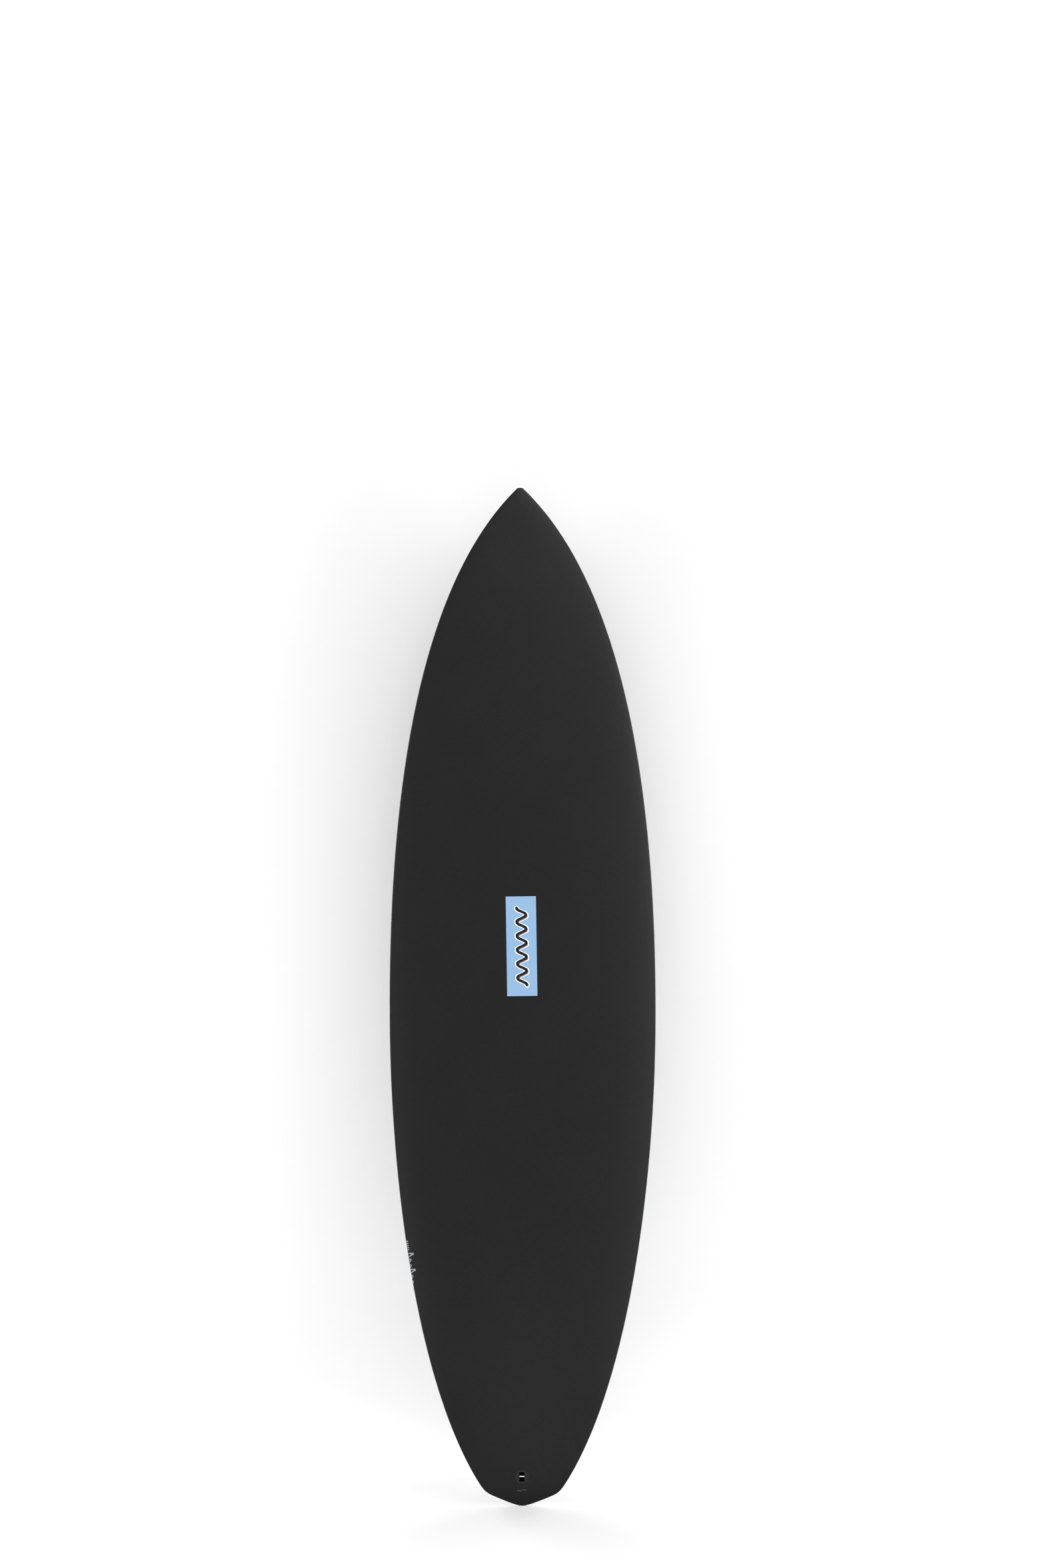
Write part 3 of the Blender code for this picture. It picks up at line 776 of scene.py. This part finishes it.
def plug_profile():
    """Half section of the cup with softly rounded rims, from the axis round to the axis."""
    turns = [math.pi / 2 * k / PLUG_RIM_STEPS for k in range(PLUG_RIM_STEPS + 1)]
    rim = [(PLUG_RADIUS - PLUG_EDGE * (1 - math.sin(a)), -PLUG_EDGE * (1 - math.cos(a)))
           for a in turns]
    groove_radii = (PLUG_BODY_RADIUS, PLUG_GROOVE_RADIUS, PLUG_GROOVE_RADIUS, PLUG_BODY_RADIUS)
    groove = [(radius, -share * PLUG_DEPTH) for radius, share in zip(groove_radii, PLUG_GROOVE)]
    return ([(0.0, 0.0)] + rim + [(PLUG_RADIUS, -PLUG_FLANGE), (PLUG_BODY_RADIUS, -PLUG_FLANGE)]
            + groove + [(PLUG_BODY_RADIUS, -PLUG_DEPTH), (0.0, -PLUG_DEPTH)])


def rod_profile(radius, low, high, edge):
    """Half section of a rod with chamfered ends, top to bottom."""
    return [(0.0, high), (radius - edge, high), (radius, high - edge),
            (radius, low + edge), (radius - edge, low), (0.0, low)]


def build_leash_plug(deck_skin, plastic, slot_shade, steel):
    """The cup, cut into the deck skin, and the pin that crosses its slot."""
    upright = surface_frame(deck_point, 0.0, PLUG_AT, -1)
    across = (upright @ Matrix.Translation((0, 0, -PIN_DEPTH))
              @ Matrix.Rotation(math.pi / 2, 4, "Y"))
    cup = add_piece("leash_cup", turned_bmesh(plug_profile(), PLUG_SIDES), plastic)
    slot_bm = block_bmesh((SLOT_WIDTH, SLOT_LENGTH, SLOT_DEPTH + CUTTER_REACH),
                          (0, 0, (CUTTER_REACH - SLOT_DEPTH) / 2), SLOT_CORNER)
    # The slot and pin hole cutters carry the near-black painted shade onto the cup's cut faces.
    slot = add_piece("slot_tool", slot_bm, slot_shade)
    hole_bm = rod_bmesh(PIN_RADIUS + GAP, -PLUG_RADIUS, PLUG_RADIUS, HOLE_SIDES)
    pin_hole = add_piece("pin_hole_tool", hole_bm, slot_shade)
    pocket_bm = rod_bmesh(PLUG_RADIUS + SEAM, -PLUG_DEPTH, CUTTER_REACH, PLUG_SIDES)
    pocket = add_piece("plug_pocket_tool", pocket_bm, None)
    half = PIN_LENGTH / 2
    pin_bm = turned_bmesh(rod_profile(PIN_RADIUS, -half, half, PLUG_EDGE), ROD_SIDES)
    pin = add_piece("leash_pin", pin_bm, steel)
    for piece in (cup, slot, pocket):
        place(piece, upright)
    for piece in (pin_hole, pin):
        place(piece, across)
    cut_with(cup, [slot, pin_hole])
    round_edges(cup, PLUG_SOFTNESS, 3)
    cut_with(deck_skin, [pocket])
    drop([slot, pin_hole, pocket])
    return cup, pin


# ---------------------------------------------------------------- fins

FIN_DEPTH = 0.115
FIN_THICKNESS = 0.0065
FIN_TIP_THICKNESS = 0.0020
FIN_EDGE = 0.0008
FIN_ROOT_FILL = 0.0012
FIN_ROOT_HEIGHT = 0.004
LEADING_EDGE = [(0.056, 0.0), (0.046, 0.036), (0.012, 0.100), (-0.042, 0.115)]
TRAILING_EDGE = [(-0.056, 0.0), (-0.046, 0.042), (-0.058, 0.086), (-0.066, 0.115)]
CANT = math.radians(6.5)
TOE_IN = math.radians(3.2)
SIDE_FIN_AT = (0.143, 0.335)
CENTRE_FIN_AT = (0.0, 0.145)
SIDE_FIN_BULGE = 0.42
FOIL_TERMS = (-0.1260, -0.3516, 0.2843, -0.1015)
FOIL_ROOT_TERM = 0.2969
FIN_TAPER_POWER = 1.2
ROOT_FILL_POWER = 6
HALVINGS = 40
CHORD_STEPS = 26
DEPTH_STEPS = 40
ROOT_STEPS = 6

CUP_RADIUS = 0.0123
CUP_DEPTH = 0.0145
CUP_SPACING = 0.060
BRIDGE_WIDTH = 0.009
BRIDGE_DEPTH = 0.004
TAB_LENGTH = 0.017
TAB_THICKNESS = 0.0062
TAB_DEPTH = 0.012
BOX_SINK = 0.00015
BOX_CUP_SIDES = 72
BOX_SOFTNESS = 0.0002
TAB_CORNER = 0.0006
TAB_ROOT = 0.001
WELL_CORNER = 0.0005

SCREW_RADIUS = 0.0025
SCREW_LENGTH = 0.008
SCREW_CLEARANCE = 0.0004
SCREW_TILT = math.radians(12)
SCREW_TIP_DEPTH = 0.0098
SCREW_EDGE = 0.0004
HEX_RADIUS = 0.00145
HEX_DEPTH = 0.003


def foil(share):
    """The usual four-digit wing section's half thickness, as a share of its whole thickness."""
    rest = sum(term * share ** (k + 1) for k, term in enumerate(FOIL_TERMS))
    return 5.0 * (FOIL_ROOT_TERM * math.sqrt(share) + rest)


def edge_at(curve, depth):
    """How far forward an edge curve is at a depth, by halving."""
    low, high = 0.0, 1.0
    for _ in range(HALVINGS):
        middle = (low + high) / 2
        if cubic(curve, middle).y < depth:
            low = middle
        else:
            high = middle
    return cubic(curve, low).x


def blade_section(depth, outer_share, cant):
    """One section of a blade; outer_share is the part of its thickness on the outer side."""
    lead = edge_at(LEADING_EDGE, depth)
    trail = edge_at(TRAILING_EDGE, depth)
    taper = (depth / FIN_DEPTH) ** FIN_TAPER_POWER
    thick = FIN_THICKNESS + (FIN_TIP_THICKNESS - FIN_THICKNESS) * taper
    fill = FIN_ROOT_FILL * math.exp(-depth / FIN_ROOT_HEIGHT)
    outer, inner = [], []
    for k in range(CHORD_STEPS + 1):
        share = (1 - math.cos(math.pi * k / CHORD_STEPS)) / 2
        half = thick * foil(share) + FIN_EDGE / 2 * share
        root = fill * (1 - abs(2 * share - 1) ** ROOT_FILL_POWER)
        y = lead + (trail - lead) * share
        shift = depth * math.tan(cant)
        outer.append(Vector((shift + 2 * half * outer_share + root, y, depth)))
        inner.append(Vector((shift - 2 * half * (1 - outer_share) - root, y, depth)))
    return outer[::-1] + inner[1:]


def blade_bmesh(outer_share, cant):
    """A closed blade through its sections, with three more of them in the root's fillet."""
    depths = [FIN_DEPTH * math.sin(math.pi / 2 * k / DEPTH_STEPS) for k in range(DEPTH_STEPS + 1)]
    depths[1:1] = [FIN_ROOT_HEIGHT * k / ROOT_STEPS for k in (1, 2, 3)]
    bm = bmesh.new()
    loops = [[bm.verts.new(p) for p in blade_section(d, outer_share, cant)] for d in depths]
    for loop, following in zip(loops, loops[1:]):
        for k in range(len(loop)):
            n = (k + 1) % len(loop)
            bm.faces.new((loop[k], loop[n], following[n], following[k]))
    bm.faces.new(loops[0])
    bm.faces.new(loops[-1])
    bmesh.ops.translate(bm, vec=(0, 0, GAP), verts=bm.verts)
    bmesh.ops.recalc_face_normals(bm, faces=bm.faces)
    return bm


def figure_eight(name, grow, top, finish):
    """Two round cups joined by a bridge, as one closed body."""
    cups = []
    for y in (-CUP_SPACING / 2, CUP_SPACING / 2):
        bm = rod_bmesh(CUP_RADIUS + grow, -CUP_DEPTH - grow, top, BOX_CUP_SIDES)
        bmesh.ops.translate(bm, vec=(0, y, 0), verts=bm.verts)
        cups.append(add_piece(name, bm, finish))
    bridge_size = (BRIDGE_WIDTH + 2 * grow, CUP_SPACING, BRIDGE_DEPTH + grow + top)
    bridge_bm = block_bmesh(bridge_size, (0, 0, (top - BRIDGE_DEPTH - grow) / 2))
    bridge = add_piece("bridge_tool", bridge_bm, finish)
    rear, front = cups
    join_with(rear, [bridge, front])
    drop([front, bridge])
    return rear


def screw_frame(y, side):
    """A screw's frame in its box: it leans so that its tip meets the tab."""
    tip_x = TAB_THICKNESS / 2 + GAP + SCREW_RADIUS * math.cos(SCREW_TILT)
    tip = Matrix.Translation((side * tip_x, y, -SCREW_TIP_DEPTH))
    return tip @ Matrix.Rotation(side * SCREW_TILT, 4, "Y")


def build_screw(name, placed, steel):
    """A plain grub screw with a hexagon socket."""
    screw_bm = turned_bmesh(rod_profile(SCREW_RADIUS, 0.0, SCREW_LENGTH, SCREW_EDGE), ROD_SIDES)
    screw = add_piece(name, screw_bm, steel)
    hexagon_bm = rod_bmesh(HEX_RADIUS, SCREW_LENGTH - HEX_DEPTH, SCREW_LENGTH + HEX_DEPTH, 6)
    hexagon = add_piece("hex_tool", hexagon_bm, None)
    cut_with(screw, [hexagon])
    drop([hexagon])
    place(screw, placed)
    return screw


def build_fin(side_name, at, outward, screw_side, bottom_skin, plastic, composite, steel):
    """A fin, its box and its two screws; outward is its lean's side along the box's X, or 0."""
    placed = (surface_frame(bottom_point, *at, 1) @ Matrix.Rotation(outward * TOE_IN, 4, "Z")
              @ Matrix.Translation((0, 0, -BOX_SINK)))
    box = figure_eight("box_" + side_name, 0.0, 0.0, plastic)
    pocket = figure_eight("pocket_tool", SEAM, CUTTER_REACH, None)
    blade_bm = blade_bmesh(0.5 + SIDE_FIN_BULGE * outward, outward * CANT)
    blade = add_piece("blade_" + side_name, blade_bm, composite)
    tabs, wells, screws = [], [], []
    for end, y in (("rear", -CUP_SPACING / 2), ("front", CUP_SPACING / 2)):
        tab_bm = block_bmesh((TAB_THICKNESS, TAB_LENGTH, TAB_DEPTH + TAB_ROOT),
                             (0, y, (TAB_ROOT - TAB_DEPTH) / 2), TAB_CORNER)
        tabs.append(add_piece("tab_tool", tab_bm, composite))
        well_size = (TAB_THICKNESS + 2 * GAP, TAB_LENGTH + 2 * GAP, TAB_DEPTH + GAP + CUTTER_REACH)
        well_bm = block_bmesh(well_size, (0, y, (CUTTER_REACH - TAB_DEPTH - GAP) / 2), WELL_CORNER)
        wells.append(add_piece("well_tool", well_bm, plastic))
        tilt = screw_frame(y, screw_side)
        hole_bm = rod_bmesh(SCREW_RADIUS + SCREW_CLEARANCE, -GAP, SCREW_LENGTH + CUTTER_REACH,
                            ROD_SIDES)
        bmesh.ops.transform(hole_bm, matrix=tilt, verts=hole_bm.verts)
        wells.append(add_piece("hole_tool", hole_bm, plastic))
        screws.append((end, build_screw("screw_" + side_name + "_" + end, placed @ tilt, steel)))
    join_with(blade, tabs)
    cut_with(box, wells)
    for piece in (box, pocket, blade):
        place(piece, placed)
    cut_with(bottom_skin, [pocket])
    drop(tabs + wells + [pocket])
    round_edges(box, BOX_SOFTNESS, 2)
    stand_for(box, "board", "fin_box_" + side_name)
    stand_for(blade, "fin_" + side_name, "fin_" + side_name)
    for end, screw in screws:
        body = "grub_screw_" + side_name + "_" + end
        stand_for(screw, body, body)


# ---------------------------------------------------------------- studio

CAMERA_DISTANCE = 4.103
CAMERA_HEIGHT = 1.3394
CAMERA_SIDE = 0.127
CAMERA_ROLL = math.radians(0.05)
CAMERA_LENS = 50.0
CAMERA_SENSOR = 36.0
WORLD_SEEN = 1.05
# Each side that lights the board: axis, its sign and the strength.
WORLD_LIGHT = (("Y", -1, 0.96), ("Y", 1, 1.00), ("X", 1, 0.89))
WALL_FOOT = 0.42
WALL_LEAN = math.radians(9)
WALL_SIZE = (6.0, 5.0)
FLOOR_SIZE = 30.0
WALL_TONE = 0.90
WALL_REACH = (1.00, 1.45)
WALL_GLOW = (0.025, 1.00)
FLOOR_TONE = 0.40
# The floor glows, lowest at the board's foot and rising over this reach: a painted contact shadow.
FLOOR_SHADOW_REACH = (0.0, 1.6)
FLOOR_GLOW_AND_SHADOW = (0.44, 1.00)
FLOOR_BOUNCE = 0.50
MIDDLE = (0.0, 0.0, 0.95)
# Each light: name, position, what it points at, its width and height, and its watts.
LIGHTS = (
    ("front", (0.0, -4.6, 1.6), MIDDLE, (3.0, 3.0), 17),
    ("key_right", (2.3, -2.1, 1.5), MIDDLE, (1.4, 2.4), 4),
    ("side_right", (2.6, -0.6, 1.3), MIDDLE, (1.4, 2.4), 67),
    ("side_left", (-2.6, -0.6, 1.3), MIDDLE, (1.4, 2.4), 16),
    ("low_left", (-2.4, -1.1, 0.5), (-0.1, 0.0, 0.4), (1.0, 0.9), 24),
    ("top_front", (0.3, -2.4, 3.3), (0.0, 0.0, 1.5), (1.6, 1.2), 3),
    ("back_left", (-2.2, 2.4, 1.8), MIDDLE, (1.4, 2.4), 92),
    ("back_right", (2.2, 2.4, 1.8), MIDDLE, (1.4, 2.4), 60),
)
# These light the board's pieces alone.
BOARD_LIGHTS = (
    ("board_right", (2.0, -1.67, 1.3), MIDDLE, (1.0, 2.4), 28),
    ("board_left", (-2.0, -1.67, 1.3), MIDDLE, (1.0, 2.4), 7),
    ("nose_light", (0.2, -0.45, 2.3), (0.0, -0.1, 1.8), (0.5, 0.4), 8.8),
    ("tail_right", (1.0, -0.25, 0.15), (0.0, 0.0, 0.1), (0.4, 0.4), 2.5),
    ("tail_left", (-1.0, -0.25, 0.15), (0.0, 0.0, 0.1), (0.4, 0.4), 2.5),
    ("tail_front", (0.0, -0.45, 0.15), (0.0, 0.0, 0.05), (0.3, 0.2), 0.6),
)


def build_camera():
    data = bpy.data.cameras.new("camera")
    data.lens = CAMERA_LENS
    data.sensor_width = CAMERA_SENSOR
    camera = bpy.data.objects.new("camera", data)
    bpy.context.scene.collection.objects.link(camera)
    yaw = math.atan2(CAMERA_SIDE, CAMERA_DISTANCE)
    camera.location = (CAMERA_SIDE, BASE_Y - CAMERA_DISTANCE, CAMERA_HEIGHT)
    camera.rotation_euler = (math.pi / 2, CAMERA_ROLL, yaw)
    bpy.context.scene.camera = camera


def area_light(name, position, target, size, watts, only=None):
    """A soft light out of the camera's sight; with only, it lights that collection alone."""
    data = bpy.data.lights.new(name, "AREA")
    data.shape = "RECTANGLE"
    data.size, data.size_y = size
    data.energy = watts
    light = bpy.data.objects.new(name, data)
    bpy.context.scene.collection.objects.link(light)
    light.location = position
    light.rotation_mode = "QUATERNION"
    light.rotation_quaternion = (Vector(target) - Vector(position)).to_track_quat("-Z", "Z")
    light.light_linking.receiver_collection = only
    light.visible_camera = False


def build_world():
    """White to the eye; as a light it is soft, and each side of it has its own strength."""
    world = bpy.data.worlds.new("studio")
    world.use_nodes = True
    tree = world.node_tree
    background = tree.nodes["Background"]
    background.inputs["Color"].default_value = grey(1.0)
    direction = tree.nodes.new("ShaderNodeTexCoord")
    split = tree.nodes.new("ShaderNodeSeparateXYZ")
    tree.links.new(direction.outputs["Generated"], split.inputs[0])
    total = None
    for axis, sign, strength in WORLD_LIGHT:
        part = tree.nodes.new("ShaderNodeMath")
        part.operation = "MULTIPLY"
        part.use_clamp = True
        part.inputs[1].default_value = sign * strength
        tree.links.new(split.outputs[axis], part.inputs[0])
        if total:
            joined = tree.nodes.new("ShaderNodeMath")
            tree.links.new(total, joined.inputs[0])
            tree.links.new(part.outputs[0], joined.inputs[1])
            part = joined
        total = part.outputs[0]
    path = tree.nodes.new("ShaderNodeLightPath")
    seen = tree.nodes.new("ShaderNodeMix")
    seen.inputs[3].default_value = WORLD_SEEN
    tree.links.new(path.outputs["Is Camera Ray"], seen.inputs[0])
    tree.links.new(total, seen.inputs[2])
    tree.links.new(seen.outputs[0], background.inputs["Strength"])
    bpy.context.scene.world = world


def stage_plane(name, size_x, size_y, middle, turn, finish):
    bm = bmesh.new()
    bmesh.ops.create_grid(bm, x_segments=1, y_segments=1, size=0.5)
    bmesh.ops.scale(bm, vec=(size_x, size_y, 1), verts=bm.verts)
    plane = add_piece(name, bm, finish)
    plane.location = middle
    plane.rotation_euler = turn


def backdrop_material(name, tone, centre, reach, glow, unseen):
    """White to the camera from the front; other rays meet the unseen shader instead.

    Between the two distances of reach from the centre, the glow runs between its two values.
    """
    made = bpy.data.materials.new(name)
    made.use_nodes = True
    tree = made.node_tree
    shader = tree.nodes["Principled BSDF"]
    shader.inputs["Base Color"].default_value = grey(tone)
    shader.inputs["Roughness"].default_value = 0.9
    shader.inputs["Specular IOR Level"].default_value = 0.1
    shader.inputs["Emission Color"].default_value = grey(1.0)
    path = tree.nodes.new("ShaderNodeLightPath")
    geometry = tree.nodes.new("ShaderNodeNewGeometry")
    away = tree.nodes.new("ShaderNodeVectorMath")
    away.operation = "DISTANCE"
    away.inputs[1].default_value = centre
    tree.links.new(geometry.outputs["Position"], away.inputs[0])
    # On the floor, the dimmer glow near the centre is a painted contact shadow around the board's
    # foot.
    shade = tree.nodes.new("ShaderNodeMapRange")
    shade.interpolation_type = "SMOOTHSTEP"
    shade.inputs["From Min"].default_value, shade.inputs["From Max"].default_value = reach
    shade.inputs["To Min"].default_value, shade.inputs["To Max"].default_value = glow
    tree.links.new(away.outputs["Value"], shade.inputs["Value"])
    tree.links.new(shade.outputs[0], shader.inputs["Emission Strength"])
    front = tree.nodes.new("ShaderNodeMath")
    front.operation = "SUBTRACT"
    front.use_clamp = True
    other = tree.nodes.new(unseen)
    if unseen == "ShaderNodeBsdfDiffuse":
        other.inputs["Color"].default_value = grey(FLOOR_BOUNCE)
    mix = tree.nodes.new("ShaderNodeMixShader")
    tree.links.new(path.outputs["Is Camera Ray"], front.inputs[0])
    tree.links.new(geometry.outputs["Backfacing"], front.inputs[1])
    tree.links.new(front.outputs[0], mix.inputs[0])
    tree.links.new(other.outputs[0], mix.inputs[1])
    tree.links.new(shader.outputs[0], mix.inputs[2])
    tree.links.new(mix.outputs[0], tree.nodes["Material Output"].inputs["Surface"])
    return made


def build_studio():
    """The floor, the wall and the lights; made last, once every piece is in the scene."""
    bpy.context.scene.view_settings.view_transform = "Standard"
    pieces = bpy.data.collections.new("pieces")
    for piece in bpy.context.scene.objects:
        if piece.type == "MESH":
            pieces.objects.link(piece)
    build_world()
    floor = backdrop_material("pale_floor", FLOOR_TONE, (0, 0, 0), FLOOR_SHADOW_REACH, FLOOR_GLOW_AND_SHADOW,
                              "ShaderNodeBsdfDiffuse")
    wall = backdrop_material("white_wall", WALL_TONE, MIDDLE, WALL_REACH, WALL_GLOW,
                             "ShaderNodeBsdfTransparent")
    stage_plane("floor", FLOOR_SIZE, FLOOR_SIZE, (0, 0, 0), (0, 0, 0), floor)
    half = WALL_SIZE[1] / 2
    wall_middle = (0, WALL_FOOT - half * math.sin(WALL_LEAN), half * math.cos(WALL_LEAN))
    stage_plane("wall", *WALL_SIZE, wall_middle, (math.pi / 2 + WALL_LEAN, 0, 0), wall)
    for light in LIGHTS:
        area_light(*light)
    for light in BOARD_LIGHTS:
        area_light(*light, pieces)


# ---------------------------------------------------------------- assembly

def repaint(node, finish):
    """Give a CAD node that stays its finished material."""
    for slot in frame["nodes"][node].material_slots:
        slot.material = finish


weave = weave_material()
plastic = nylon_material()
steel = steel_material()
composite = fin_material()

deck = skin_piece("deck_skin", deck_side, weave)
bottom = skin_piece("bottom_skin", bottom_side, weave)
# The cup's slot and pin hole get near-black painted shade for their recess.
cup, pin = build_leash_plug(deck, plastic, painted_shade_material(), steel)
build_fin("right", SIDE_FIN_AT, -1, 1, bottom, plastic, composite, steel)
build_fin("left", (-SIDE_FIN_AT[0], SIDE_FIN_AT[1]), 1, -1, bottom, plastic, composite, steel)
build_fin("centre", CENTRE_FIN_AT, 0, 1, bottom, plastic, composite, steel)

stand_for(deck, "board", "deck_laminate")
stand_for(bottom, "board", "bottom_laminate")
stand_for(build_label(label_material()), "board", "centre_label")
stand_for(cup, "board", "leash_plug_cup")
stand_for(pin, "board", "leash_plug_pin")
rail_paths = [rail_wave()] + [rail_dash(z) for z in RAIL_DASHES]
tail_paths = [tail_dash(start, end) for start, end in TAIL_DASHES]
for mark in (mark_piece("rail_mark", rail_paths, RAIL_STROKE, mark_material()),
             mark_piece("tail_mark", tail_paths, TAIL_STROKE, faint_mark_material())):
    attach(mark, "board")

foam = foam_material()
repaint("foam_blank_left", foam)
repaint("foam_blank_right", foam)
repaint("stringer", ply_material())

build_camera()
build_studio()
